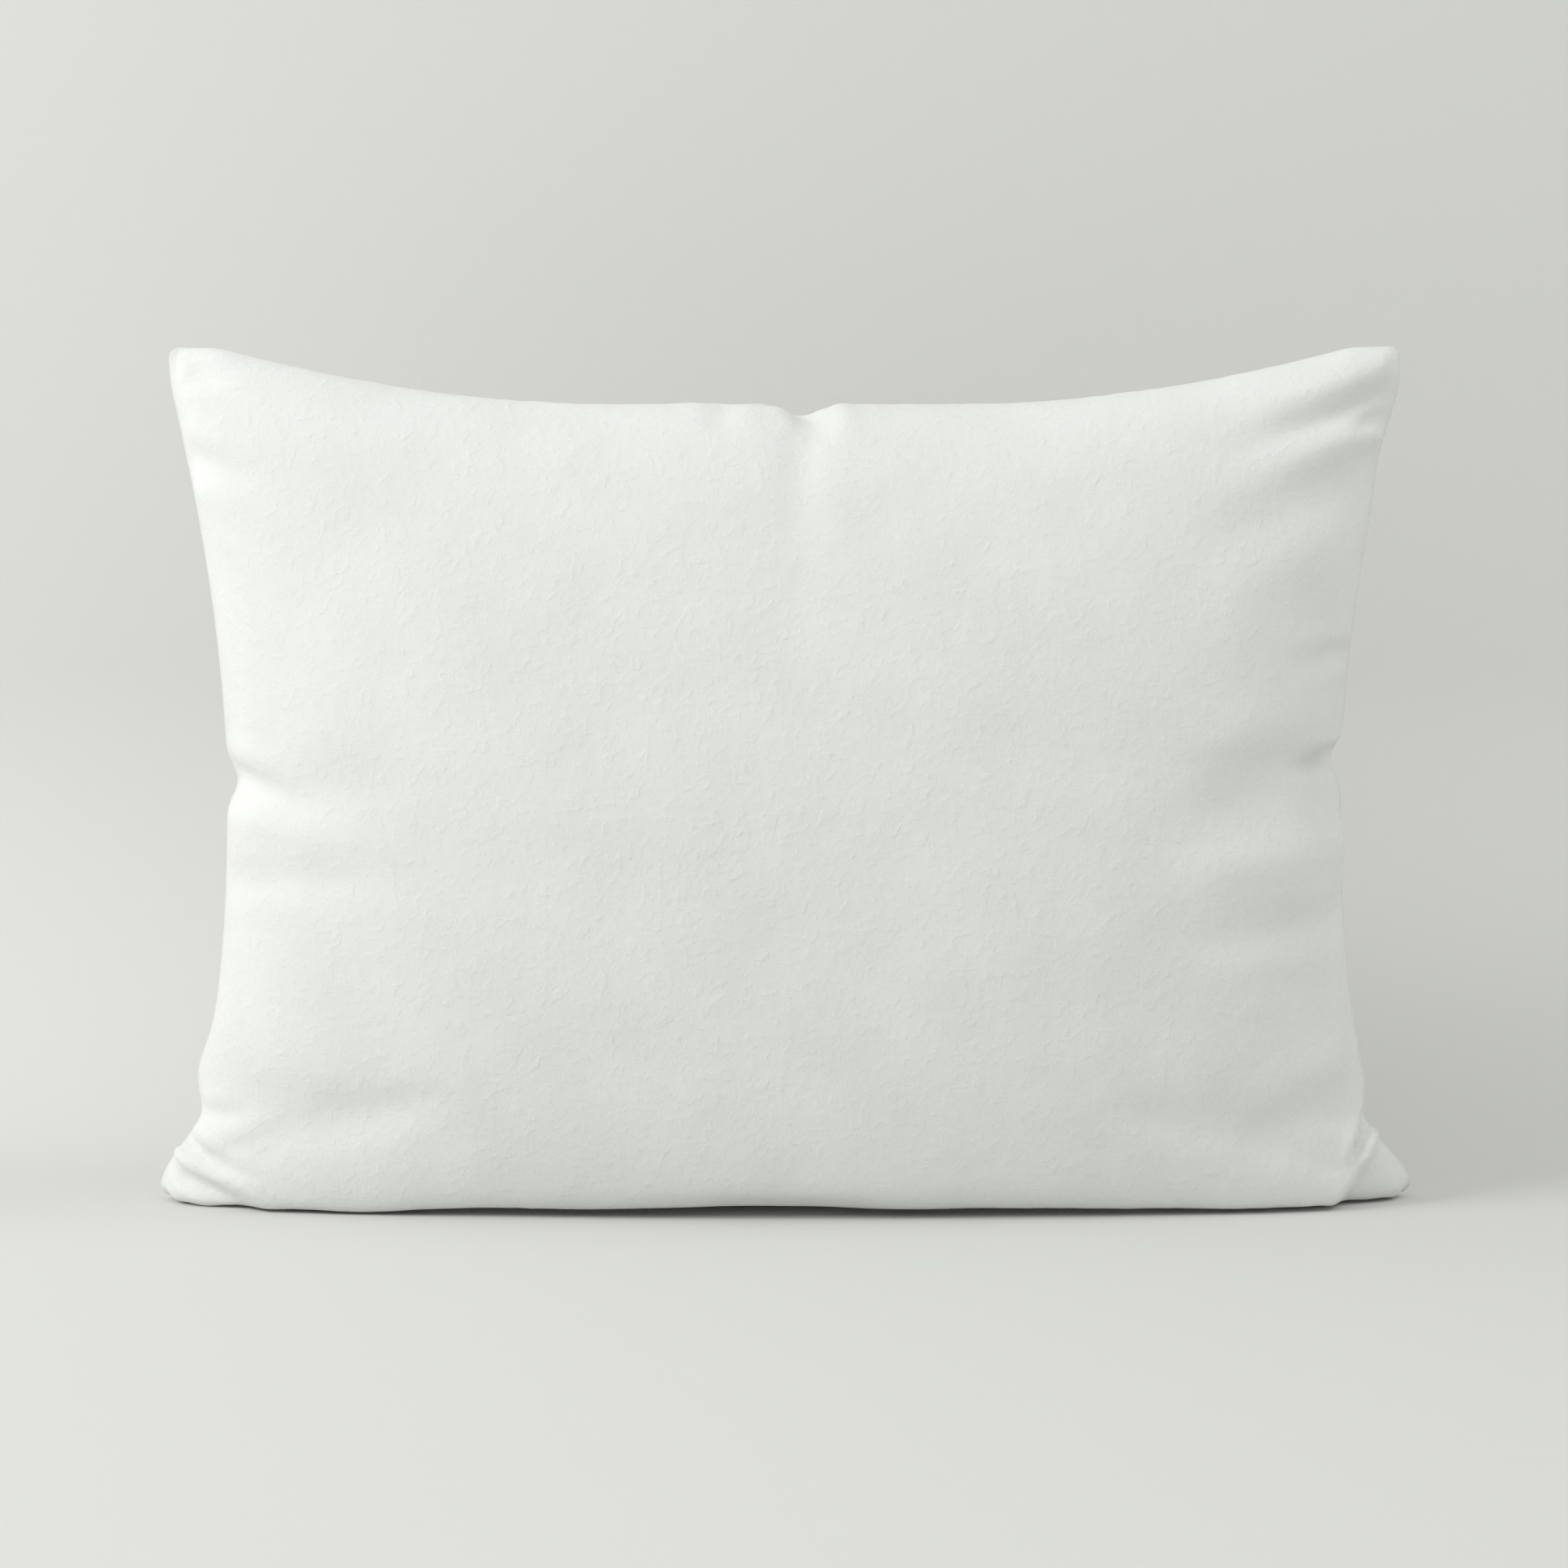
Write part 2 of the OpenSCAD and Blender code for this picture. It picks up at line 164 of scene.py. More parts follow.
def filled_grid():
    """The front panel's filled shape, as a grid of points with its rim on the seam outline."""
    shares_x = np.linspace(-1, 1, CELLS_X + 1)
    shares_z = np.linspace(-1, 1, CELLS_Z + 1)
    grid = np.zeros((CELLS_X + 1, CELLS_Z + 1, 3))
    for i, s in enumerate(shares_x):
        depth, height = half_section(s)
        walked = np.append(0, np.cumsum(np.hypot(np.diff(depth), np.diff(height))))
        place = (1 - shares_z) / 2 * walked[-1]
        z = np.interp(place, walked, height)
        side = LEFT if s < 0 else RIGHT
        grid[i, :, 0] = s * side_seam(np.clip(2 * z / TOP - 1, -1, 1), side)
        grid[i, :, 1] = -np.interp(place, walked, depth)
        grid[i, :, 2] = z
    return grid


# ======== the cloth simulation
def pinned_hem(grid):
    """Lays the lowest two rows flat beside the zip, and marks every point that is sewn."""
    sewn = np.zeros(grid.shape[:2], bool)
    sewn[0], sewn[-1], sewn[:, 0], sewn[:, -1] = True, True, True, True
    beside_zip = np.abs(grid[:, 0, 0]) <= SLOT_HALF_L + HEM_W
    grid[beside_zip, 1, 1] = -HEM_W
    grid[beside_zip, 1, 2] = HEM_BOTTOM
    sewn[beside_zip, 1] = True
    in_slot = np.abs(grid[:, 0, 0]) <= SLOT_HALF_L
    grid[in_slot, 0, 1] = -SLOT_HALF_W
    return sewn, in_slot


def cover_mesh(grid, in_slot):
    """One closed mesh of both panels, joined along the seam but not in the zip's slot."""
    least_depth, flat_gap = 0.8 * MM, 0.2 * MM
    numbers = {}
    points, panel_place = [], []

    def number(side, i, j):
        rim = i in (0, CELLS_X) or j in (0, CELLS_Z)
        joined = rim and not (j == 0 and in_slot[i])
        key = ("rim", i, j) if joined else (side, i, j)
        if key not in numbers:
            numbers[key] = len(points)
            x, y, z = grid[i, j]
            depth = 0 if joined else -side * min(y, -least_depth)
            points.append((x, depth, z))
            flat_y = 0 if joined else side * flat_gap
            flat_x = (i / CELLS_X - 0.5) * FLAT_W
            panel_place.append((flat_x, flat_y, j / CELLS_Z * FLAT_H))
        return numbers[key]

    faces = []
    for side in (FRONT, BACK):
        for i in range(CELLS_X):
            for j in range(CELLS_Z):
                corners = [(i, j), (i + 1, j), (i + 1, j + 1), (i, j + 1)]
                face = [number(side, *corner) for corner in corners]
                faces.append(face if side == FRONT else face[::-1])
    mesh = bpy.data.meshes.new("cover_cut")
    mesh.from_pydata(points, [], faces)
    return mesh, numbers, panel_place


def add_floor_collision():
    """What the cover settles on: flat, with a slight rise that leaves an arch at mid-width."""
    level, rise, rise_width = -3 * MM, 4 * MM, 120 * MM
    bpy.ops.mesh.primitive_grid_add(size=2, x_subdivisions=100, y_subdivisions=4)
    ground = bpy.context.object
    for vertex in ground.data.vertices:
        vertex.co.z = level + rise * bell(vertex.co.x, 0, rise_width)
    ground.modifiers.new("Collision", "COLLISION")
    ground.collision.thickness_outer = 2 * MM
    ground.collision.cloth_friction = 20
    return ground


def add_cloth(cover, flat_key, sewn_group):
    """Cloth that wants to be flat and is blown up inside its pinned seams."""
    cloth = cover.modifiers.new("Cloth", "CLOTH")
    settings = cloth.settings
    settings.rest_shape_key = flat_key
    settings.vertex_group_mass = sewn_group.name
    settings.quality = 8
    settings.mass = 0.15
    springs = (("tension", 40, 5), ("compression", 40, 5), ("shear", 20, 5), ("bending", 0.3, 0.5))
    for kind, stiffness, damping in springs:
        setattr(settings, kind + "_stiffness", stiffness)
        setattr(settings, kind + "_damping", damping)
    settings.air_damping = 2
    settings.use_pressure = True
    settings.uniform_pressure_force = 1.2
    settings.effector_weights.gravity = 0
    cloth.collision_settings.distance_min = 2 * MM
    cloth.collision_settings.collision_quality = 3
    cloth.point_cache.frame_start = 1
    cloth.point_cache.frame_end = SIM_FRAMES


def inflate(mesh, panel_place, sewn_points):
    """Runs the cloth simulation and returns where every point of the mesh ends up."""
    cover = bpy.data.objects.new("cover_cut", mesh)
    bpy.context.scene.collection.objects.link(cover)
    cover.shape_key_add(name="filled")
    flat_key = cover.shape_key_add(name="flat")
    flat_key.data.foreach_set("co", np.array(panel_place).ravel())
    flat_key.value = 0
    sewn_group = cover.vertex_groups.new(name="sewn")
    sewn_group.add(sewn_points, 1, "REPLACE")
    add_cloth(cover, flat_key, sewn_group)
    ground = add_floor_collision()
    for step in range(1, SIM_FRAMES + 1):
        bpy.context.scene.frame_set(step)
    shaped = cover.evaluated_get(bpy.context.evaluated_depsgraph_get()).to_mesh()
    places = np.zeros(3 * len(shaped.vertices))
    shaped.vertices.foreach_get("co", places)
    for used in (cover, ground):
        bpy.data.objects.remove(used)
    bpy.context.scene.frame_set(1)
    return places.reshape(-1, 3)


def simulated_panels():
    """The filled front and back panels, each a grid of points."""
    grid = filled_grid()
    sewn, in_slot = pinned_hem(grid)
    mesh, numbers, panel_place = cover_mesh(grid, in_slot)
    places = np.zeros(3 * len(mesh.vertices))
    mesh.vertices.foreach_get("co", places)
    places = places.reshape(-1, 3)
    sewn_points = sorted({n for (_, i, j), n in numbers.items() if sewn[i, j]})
    places = inflate(mesh, panel_place, sewn_points)
    panels = {}
    for side in (FRONT, BACK):
        panel = np.zeros_like(grid)
        for i in range(CELLS_X + 1):
            for j in range(CELLS_Z + 1):
                key = (side, i, j) if (side, i, j) in numbers else ("rim", i, j)
                panel[i, j] = places[numbers[key]]
        panels[side] = panel
    return panels


# ======== grids of points
def finer_along(grid, times):
    """The grid as a smooth cubic spline along its first axis, with more points."""
    ends = 2 * grid[0] - grid[1], 2 * grid[-1] - grid[-2]
    padded = np.concatenate([ends[0][None], grid, ends[1][None]])
    place = np.arange((len(grid) - 1) * times + 1) / times
    first = np.minimum(place.astype(int), len(grid) - 2)
    u = (place - first)[:, None, None]
    weights = (
        (1 - u) ** 3 / 6,
        (3 * u**3 - 6 * u**2 + 4) / 6,
        (-3 * u**3 + 3 * u**2 + 3 * u + 1) / 6,
        u**3 / 6,
    )
    return sum(w * padded[first + k] for k, w in enumerate(weights))


def finer(grid, times):
    """The grid as a smooth surface with more points."""
    once = finer_along(grid, times)
    return finer_along(once.transpose(1, 0, 2), times).transpose(1, 0, 2)


def unit(vectors):
    """The vectors at length 1."""
    return vectors / np.maximum(np.linalg.norm(vectors, axis=-1, keepdims=True), 1e-12)


def outward(grid, side):
    """Unit normals that point out of the pillow."""
    return unit(np.cross(np.gradient(grid, axis=0), np.gradient(grid, axis=1)) * -side)


def walked_from_edge(grid):
    """How far each point is from the panel's nearest edge, along the cloth."""
    across = np.linalg.norm(np.diff(grid, axis=0), axis=2)
    upward = np.linalg.norm(np.diff(grid, axis=1), axis=2)
    rows, columns = grid.shape[:2]
    from_left = np.concatenate([np.zeros((1, columns)), np.cumsum(across, axis=0)])
    from_base = np.concatenate([np.zeros((rows, 1)), np.cumsum(upward, axis=1)], axis=1)
    to_right = from_left[-1:] - from_left
    to_top = from_base[:, -1:] - from_base
    return np.minimum.reduce([from_left, to_right, from_base, to_top])


def noise_field(points, size, seed):
    """Smooth noise from about -1 to 1 at each point, with lumps of about the given size."""
    shift = Vector((seed, 2 * seed, 3 * seed))
    flat = points.reshape(-1, 3) / size
    values = [noise.noise(Vector(p) + shift) for p in flat.tolist()]
    return np.array(values).reshape(points.shape[:-1])


# ======== folds in the cover
# Each fold runs from one point to another, (x, z), and has a half-width and a height, all in
# millimetres. A valley's height is below zero, and it raises a ridge along each side.
FRONT_FOLDS = [
    ((332, 440), (222, 404), 9, -6),
    ((330, 428), (300, 418), 4, -4),
    ((318, 398), (200, 352), 15, -3),
    ((-318, 452), (-292, 446), 6, -2),
    ((-324, 408), (-272, 388), 8, -3),
    ((12, 438), (24, 406), 8, -4),
    ((-34, 440), (-40, 412), 8, -1.4),
    ((-304, 234), (-226, 214), 8, -3.4),
    ((-300, 206), (-170, 202), 12, 1.8),
    ((-302, 178), (-190, 184), 8, -1.2),
    ((304, 244), (262, 236), 5, -5),
    ((292, 232), (176, 212), 19, -5),
    ((306, 198), (184, 184), 11, 2.4),
    ((304, 160), (196, 150), 10, -2),
    ((306, 302), (262, 292), 6, -2.5),
    ((-322, 52), (-278, 58), 5, -1.6),
    ((-316, 76), (-160, 48), 14, -2),
    ((-328, 36), (-278, 18), 4, -3),
    ((-332, 29), (-276, 9), 4.5, 3.4),
    ((-328, 17), (-290, 4), 4, -3.4),
    ((317, 48), (310, 22), 3, -6),
    ((322, 40), (316, 20), 4, 3),
    ((312, 66), (236, 40), 11, -2.5),
]
BACK_FOLDS = [
    ((-332, 442), (-230, 400), 9, -5),
    ((-318, 394), (-212, 362), 13, -3),
    ((326, 446), (262, 424), 8, -4),
    ((6, 438), (-16, 392), 8, -4),
    ((60, 440), (66, 408), 6, -2.5),
    ((-304, 236), (-214, 248), 8, -4),
    ((-302, 200), (-186, 190), 10, 2.5),
    ((304, 242), (206, 226), 9, -5),
    ((302, 270), (220, 286), 8, -2.5),
    ((306, 190), (190, 176), 11, 2.5),
    ((-318, 60), (-206, 40), 10, -3),
    ((322, 42), (286, 6), 5, -4),
    ((314, 80), (180, 58), 12, -3),
    ((-322, 42), (-284, 10), 5, -4),
]


def fold_heights(grid, folds):
    """How far the folds raise each point of a panel."""
    drift, drift_size = 5, 70 * MM
    ridge_height, ridge_apart = 0.45, 1.9
    fade_in, fade_out_from, fade_out = 0.2, 0.25, 0.75
    drift_x = drift * noise_field(grid, drift_size, 3)
    drift_z = drift * noise_field(grid, drift_size, 7)
    x, z = grid[..., 0] / MM + drift_x, grid[..., 2] / MM + drift_z
    total = np.zeros(grid.shape[:2])
    for start, end, width, height in folds:
        run = np.subtract(end, start)
        length = np.hypot(*run)
        along = ((x - start[0]) * run[0] + (z - start[1]) * run[1]) / length**2
        apart = np.abs((x - start[0]) * run[1] - (z - start[1]) * run[0]) / length
        shape = bell(apart, 0, width)
        if height < 0:
            shape = shape - ridge_height * bell(apart, ridge_apart * width, width)
        fading = smooth_step((along + 0.15) / fade_in)
        fading *= 1 - smooth_step((along - fade_out_from) / fade_out)
        total += height * shape * fading
    return total * MM


def surface_relief(grid, folds, seed):
    """Folds, soft lumps of filling and fine creases, as heights along the normals."""
    lump_height, lump_size = 2.0 * MM, 95 * MM
    small_lump_height, small_lump_size = 0.6 * MM, 34 * MM
    crease_height, crease_size, crease_length, crease_sharpness = 0.14 * MM, 15 * MM, 26 * MM, 2.5
    crumple_height, crumple_size = 0.12 * MM, 6.5 * MM
    lumps = lump_height * noise_field(grid, lump_size, seed)
    lumps += small_lump_height * noise_field(grid, small_lump_size, seed + 1)
    ridges = 1 - np.abs(noise_field(grid, crease_size, seed + 2)) * 2
    broken = smooth_step(crease_sharpness * noise_field(grid, crease_length, seed + 4))
    creases = crease_height * np.maximum(ridges, 0) ** 2 * broken
    creases += crumple_height * noise_field(grid, crumple_size, seed + 3)
    return fold_heights(grid, folds) + lumps + creases


def seam_pucker(grid, from_edge):
    """Small gathers that the stitches pull along the seams."""
    height, gather_size, wide_gather_size, wide_share = 0.9 * MM, 9 * MM, 22 * MM, 0.6
    reach, flat_edge = 9 * MM, 3 * MM
    wave = noise_field(grid, gather_size, 21) + wide_share * noise_field(grid, wide_gather_size, 22)
    return height * wave * np.exp(-from_edge / reach) * smooth_step(from_edge / flat_edge)


# ======== the finished panels
def round_corners(grid):
    """Rounds the four ears, as a turned corner is never sharp."""
    x, z = grid[..., 0], grid[..., 2]
    for side_x in (LEFT, RIGHT):
        for side_z, level, radius in ((1, EAR_TOP, TOP_RADIUS), (-1, 0, BOTTOM_RADIUS)):
            reach = side_seam(np.float64(side_z), side_x)
            a = np.clip((side_x * x - (reach - radius)) / radius, 0, 1)
            b = np.clip((side_z * (z - level) + radius) / radius, 0, 1)
            x = x - side_x * radius * a * (1 - np.sqrt(1 - b * b / 2))
            z = z - side_z * radius * b * (1 - np.sqrt(1 - a * a / 2))
    return np.stack([x, grid[..., 1], z], axis=-1)


# A lower ear bends back past a line across it: a point on the line and the direction that leads
# outwards, (x, z), the width of the bend and how far the ear leans, in millimetres.
LOWER_EAR_BENDS = [
    ((322, 33), (0.803, -0.595), 9, 16),
    ((-322, 46), (-0.734, -0.679), 14, 7),
]
# An upper ear leans by the last number round its corner, (x, z), in millimetres.
UPPER_EAR_LEANS = [((338, 470), -6), ((-338, 470), 4)]


def leaning(points):
    """The points with the ears bent out of the middle plane, each its own way."""
    bend_start, ear_size = 3, 60
    free_from, free_run = 20, 50
    x, z = points[..., 0] / MM, points[..., 2] / MM
    near_floor = 1 - smooth_step((z - free_from) / free_run)
    lean = np.zeros(x.shape)
    for (line_x, line_z), (out_x, out_z), bend_width, distance in LOWER_EAR_BENDS:
        past = out_x * (x - line_x) + out_z * (z - line_z)
        lean += distance * smooth_step((past + bend_start) / bend_width) * near_floor
    for (corner_x, corner_z), distance in UPPER_EAR_LEANS:
        lean += distance * bell(x, corner_x, ear_size) * bell(z, corner_z, ear_size)
    bent = points.copy()
    bent[..., 1] += lean * MM
    return bent


def flatten_hem(grid, side):
    """Brings the strip beside the zip back to the level that the tape is sewn to."""
    end_fade, side_fade, underside = 12 * MM, 6 * MM, 25 * MM
    x, y, z = grid[..., 0], grid[..., 1] * side, grid[..., 2]
    lengthwise = 1 - smooth_step((np.abs(x) - SLOT_HALF_L) / end_fade)
    crosswise = 1 - smooth_step((y - HEM_W) / side_fade)
    share = np.where(z < underside, lengthwise * crosswise, 0)
    grid[..., 2] = z + (HEM_BOTTOM - z) * share
    return grid


def seam_clearance(grid, side):
    """Room that a panel's turned-in edge needs on its own side of the seam."""
    facing = np.abs(outward(grid, side)[..., 1])
    edge_on = np.sqrt(np.maximum(1 - facing**2, 0))
    return EDGE_GAP + 2 * CLOTH_T * (facing + EDGE_ROUND * edge_on)


def finished_panel(panel, side, folds, seed):
    """A simulated panel with its folds, creases and puckers, clear of the other panel."""
    calm_edge = 14 * MM
    grid = finer(panel, FINER)
    from_edge = walked_from_edge(grid)
    relief = surface_relief(grid, folds, seed) * smooth_step(from_edge / calm_edge)
    relief += seam_pucker(grid, from_edge)
    grid = grid + outward(grid, side) * relief[..., None]
    grid[..., 1] = side * np.maximum(side * grid[..., 1], seam_clearance(grid, side))
    grid = round_corners(grid)
    grid[..., 2] = np.maximum(grid[..., 2], 0)
    return flatten_hem(grid, side)


# ======== meshes
def add_object(name, points, faces, material, uvs=None):
    """A smooth-shaded mesh object, with one UV for each point where they are given."""
    mesh = bpy.data.meshes.new(name)
    mesh.from_pydata(np.asarray(points).tolist(), [], faces)
    mesh.shade_smooth()
    if uvs is not None:
        layer = mesh.uv_layers.new(name="cut")
        corners = np.zeros(len(mesh.loops), np.int32)
        mesh.loops.foreach_get("vertex_index", corners)
        layer.data.foreach_set("uv", np.asarray(uvs)[corners].ravel())
    mesh.materials.append(material)
    piece = bpy.data.objects.new(name, mesh)
    bpy.context.scene.collection.objects.link(piece)
    return piece


def rim_numbers(rows, columns):
    """The grid points round a panel's rim, in order."""
    index = np.arange(rows * columns).reshape(rows, columns)
    sides = (index[:-1, 0], index[-1, :-1], index[:0:-1, -1], index[0, :0:-1])
    return np.concatenate(sides)


def grid_faces(rows, columns):
    """The four-sided faces of a grid of points."""
    index = np.arange(rows * columns).reshape(rows, columns)
    corners = (index[:-1, :-1], index[1:, :-1], index[1:, 1:], index[:-1, 1:])
    return np.stack(corners, axis=-1).reshape(-1, 4)


def rounded_edge(outer_rim, inner_rim, side):
    """A line round a sheet that stands out of the gap between the rims of its two faces."""
    through = outer_rim - inner_rim
    half_way = (outer_rim + inner_rim) / 2
    thickness = np.linalg.norm(through, axis=1, keepdims=True)
    ahead = np.roll(half_way, -1, axis=0) - np.roll(half_way, 1, axis=0)
    away = unit(np.cross(ahead, through)) * -side
    return half_way + away * thickness * EDGE_ROUND


def closed_sheet(name, outer, inner, uvs, material, side=FRONT):
    """A sheet of cloth between two grids, with a rounded edge."""
    rows, columns = outer.shape[:2]
    count = rows * columns
    rim = rim_numbers(rows, columns)
    outer_points, inner_points = outer.reshape(-1, 3), inner.reshape(-1, 3)
    edge = rounded_edge(outer_points[rim], inner_points[rim], side)
    points = np.concatenate([outer_points, inner_points, edge])
    top_faces = grid_faces(rows, columns)
    back_faces = top_faces[:, ::-1] + count
    edge_now = np.arange(len(rim)) + 2 * count
    rim_next, edge_next = np.roll(rim, -1), np.roll(edge_now, -1)
    upper = np.stack([rim_next, rim, edge_now, edge_next], axis=-1)
    lower = np.stack([edge_next, edge_now, rim + count, rim_next + count], axis=-1)
    faces = np.concatenate([top_faces, back_faces, upper, lower])
    if side == BACK:
        faces = faces[:, ::-1]
    flat = uvs.reshape(-1, 2)
    all_uvs = np.concatenate([flat, flat, flat[rim]])
    return add_object(name, points, faces.tolist(), material, all_uvs)


def crossed(along_rows, along_columns):
    """Two grids of numbers: one that varies from row to row, and one from column to column."""
    return np.meshgrid(along_rows, along_columns, indexing="ij")


def cut_uvs(rows, columns, width, length):
    """Places on the flat cut, in metres, so that a weave has its true size."""
    return np.stack(crossed(np.linspace(0, width, rows), np.linspace(0, length, columns)), axis=-1)


def cover_panel(name, grid, side, material):
    """A cover panel: one layer of cloth, and two where the seam allowance is turned in."""
    turned_in = walked_from_edge(grid) <= ALLOWANCE
    depth = np.where(turned_in, 2 * CLOTH_T - EDGE_GAP, CLOTH_T)[..., None]
    inner = grid - outward(grid, side) * depth
    uvs = cut_uvs(*grid.shape[:2], FLAT_W, FLAT_H)
    return closed_sheet(name, grid, inner, uvs, material, side)


def sampled(grid, shares_x, shares_z):
    """Points of a grid at shares from 0 to 1 of its rows and columns."""
    rows, columns = grid.shape[:2]
    x, z = shares_x * (rows - 1), shares_z * (columns - 1)
    i = np.minimum(x.astype(int), rows - 2)
    j = np.minimum(z.astype(int), columns - 2)
    u, v = (x - i)[..., None], (z - j)[..., None]
    low = grid[i, j] * (1 - u) + grid[i + 1, j] * u
    high = grid[i, j + 1] * (1 - u) + grid[i + 1, j + 1] * u
    return low * (1 - v) + high * v


def tube(path, radius, sides):
    """Points and faces of a round tube along a path, with flat ends."""
    run = unit(np.gradient(path, axis=0))
    guide = np.where(np.abs(run[:, 2:]) < 0.9, [[0.0, 0.0, 1.0]], [[1.0, 0.0, 0.0]])
    across = unit(np.cross(run, guide))
    up = np.cross(across, run)
    angle = np.arange(sides) * 2 * math.pi / sides
    ring = across[:, None] * np.cos(angle)[:, None] + up[:, None] * np.sin(angle)[:, None]
    points = (path[:, None] + radius * ring).reshape(-1, 3)
    index = np.arange(len(path) * sides).reshape(len(path), sides)
    here, following = index[:-1], index[1:]
    corners = (here, following, np.roll(following, -1, axis=1), np.roll(here, -1, axis=1))
    faces = np.stack(corners, axis=-1).reshape(-1, 4).tolist()
    faces += [index[0].tolist(), index[-1][::-1].tolist()]
    return points, faces


def joined_tubes(name, tubes, material):
    """Several tubes as one object."""
    points, faces, count = [], [], 0
    for tube_points, tube_faces in tubes:
        points.append(tube_points)
        faces += [[n + count for n in face] for face in tube_faces]
        count += len(tube_points)
    return add_object(name, np.concatenate(points), faces, material)


# ======== materials
class Shader:
    """A material's node tree, with short calls to add and link nodes."""

    def __init__(self, name, color, roughness):
        self.material = bpy.data.materials.new(name)
        self.material.use_nodes = True
        self.tree = self.material.node_tree
        self.surface = self.tree.nodes["Principled BSDF"]
        self.set(Base_Color=(*color, 1), Roughness=roughness)

    def set(self, **values):
        """Sets the surface's own sockets by name."""
        for name, value in values.items():
            self.surface.inputs[name.replace("_", " ")].default_value = value

    def add(self, kind, **inputs):
        """A new node, with its inputs set or linked by name."""
        node = self.tree.nodes.new(kind)
        for name, value in inputs.items():
            self.put(value, node.inputs[name.replace("_", " ")])
        return node

    def put(self, value, socket):
        """Sets a socket to a value, or links an output to it."""
        if isinstance(value, bpy.types.NodeSocket):
            self.tree.links.new(value, socket)
        else:
            socket.default_value = value

    def math(self, operation, a, b=0.0):
        """The result of a sum on two numbers or outputs."""
        node = self.tree.nodes.new("ShaderNodeMath")
        node.operation = operation
        self.put(a, node.inputs[0])
        self.put(b, node.inputs[1])
        return node.outputs[0]

    def plus(self, a, b):
        """a + b"""
        return self.math("ADD", a, b)

    def times(self, a, b):
        """a times b"""
        return self.math("MULTIPLY", a, b)

    def place(self, kind):
        """A texture coordinate: UV or Object."""
        return self.add("ShaderNodeTexCoord").outputs[kind]

    def stretched(self, vector, scale):
        """The vector scaled along each axis."""
        return self.add("ShaderNodeMapping", Vector=vector, Scale=scale).outputs[0]

    def noise(self, vector, scale, detail=2.0, distortion=0.0):
        node = self.add(
            "ShaderNodeTexNoise", Vector=vector, Scale=scale, Detail=detail, Distortion=distortion
        )
        return node.outputs["Fac"]

    def bump(self, height, distance, strength, normal=None):
        node = self.add("ShaderNodeBump", Height=height, Distance=distance, Strength=strength)
        if normal is not None:
            self.put(normal, node.inputs["Normal"])
        return node.outputs[0]

    def ramp(self, value, low, high):
        """Colour that goes from low to high as the value goes from 0.3 to 0.7."""
        node = self.add("ShaderNodeValToRGB", Fac=value)
        stops = node.color_ramp.elements
        stops[0].position, stops[0].color = 0.3, (*low, 1)
        stops[1].position, stops[1].color = 0.7, (*high, 1)
        return node.outputs[0]

    def finish(self, color=None, normal=None, roughness=None):
        """Links what is given to the surface, and returns the material."""
        for value, name in ((color, "Base Color"), (normal, "Normal"), (roughness, "Roughness")):
            if value is not None:
                self.put(value, self.surface.inputs[name])
        return self.material


def plain_weave(shader, cloth, pitch):
    """Height of a plain weave: each thread goes over one and under the next."""
    thread_share, over_share = 0.3, 0.4
    parts = shader.add("ShaderNodeSeparateXYZ", Vector=cloth)
    turns = math.pi / pitch
    warp = shader.math("SINE", shader.times(parts.outputs[0], turns))
    weft = shader.math("SINE", shader.times(parts.outputs[1], turns))
    over = shader.times(warp, weft)
    threads = shader.plus(shader.math("ABSOLUTE", warp), shader.math("ABSOLUTE", weft))
    return shader.plus(shader.times(threads, thread_share), shader.times(over, over_share))


def ridged(shader, value):
    """Noise turned into thin raised lines."""
    thinness, sharpness = 4.0, 3.0
    centred = shader.math("ABSOLUTE", shader.math("SUBTRACT", value, 0.5))
    line = shader.math("SUBTRACT", 1.0, shader.times(centred, thinness))
    return shader.math("POWER", line, sharpness)


def short_lines(shader, place, scale, breaks):
    """Thin raised lines, broken into short lengths."""
    steepness = 9.0
    lines = ridged(shader, shader.noise(place, scale, 1.0, 0.4))
    keep = shader.times(shader.math("SUBTRACT", shader.noise(place, breaks, 0.0), 0.5), steepness)
    clamped = shader.math("MINIMUM", shader.math("MAXIMUM", keep, 0.0), 1.0)
    return shader.times(lines, clamped)


def cotton(name, low, high, pitch, creases, sheen):
    """Washed cotton: weave, slubs along both thread directions, small creases and a soft nap."""
    slub_thin, slub_long = 1400, 60
    weave_depth, weave_strength, crease_depth = 0.14 * MM, 0.6, 0.45 * MM
    fine_share = 0.7
    shader = Shader(name, high, 0.85)
    cloth = shader.place("UV")
    body = shader.place("Object")
    mottle = shader.noise(body, 22.0, 4.0)
    warp_slub = shader.noise(shader.stretched(cloth, (slub_thin, slub_long, 1)), 1.0, 3.0)
    weft_slub = shader.noise(shader.stretched(cloth, (slub_long, slub_thin, 1)), 1.0, 3.0)
    slubs = shader.times(shader.plus(warp_slub, weft_slub), 0.5)
    tone = shader.plus(shader.times(mottle, 0.6), shader.times(slubs, 0.4))
    weave = shader.plus(plain_weave(shader, cloth, pitch), shader.times(slubs, 0.8))
    crease = shader.plus(
        short_lines(shader, body, 78.0, 130.0),
        shader.times(short_lines(shader, body, 180.0, 260.0), fine_share),
    )
    normal = shader.bump(weave, weave_depth, weave_strength)
    normal = shader.bump(crease, crease_depth, creases, normal)
    roughness = shader.plus(0.78, shader.times(slubs, 0.2))
    shader.set(Sheen_Weight=sheen, Sheen_Roughness=0.45, Specular_IOR_Level=0.25)
    return shader.finish(shader.ramp(tone, low, high), normal, roughness)


